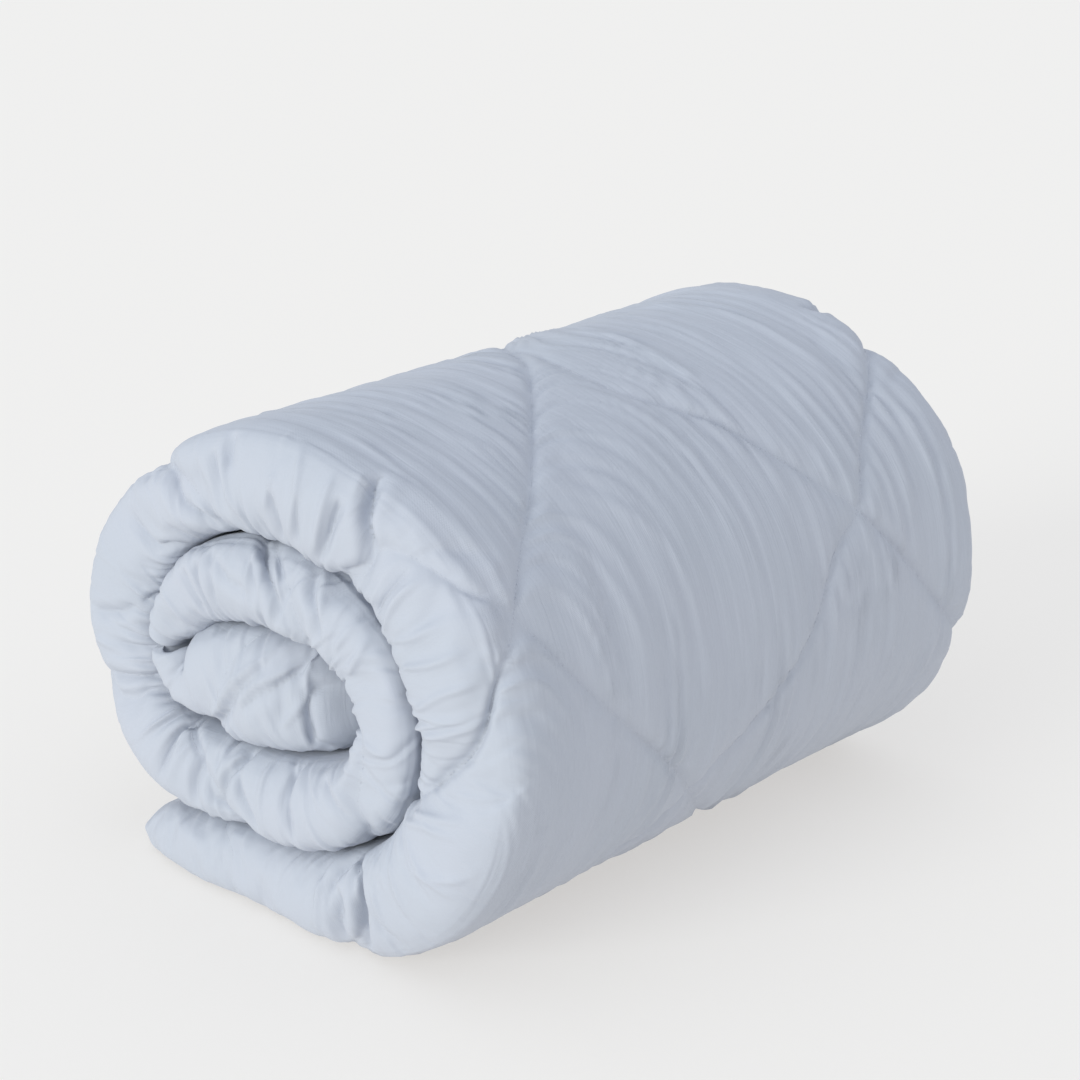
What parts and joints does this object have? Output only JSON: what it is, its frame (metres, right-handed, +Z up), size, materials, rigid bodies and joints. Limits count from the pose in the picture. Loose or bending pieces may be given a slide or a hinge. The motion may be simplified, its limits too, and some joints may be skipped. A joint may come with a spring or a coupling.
{
  "type": "rolled mattress protector",
  "caption": "Padded mattress protector with diamond quilting, folded lengthways and wound into a soft roll that lies on its tucked loose end.",
  "frame": {"origin": "middle of the flat underside", "axes": "+Z up, +Y along the roll from its spiral end, +X towards the side on which the outer turn rises from the loose end"},
  "size_m": [0.4772, 0.609, 0.4028],
  "materials": {
    "quilted_cloth": "fine plain-woven white cotton over soft fibre padding, matt with a slight sheen"
  },
  "bodies": {
    "root": {"rolled_protector": "quilted_cloth"}
  },
  "joints": []
}
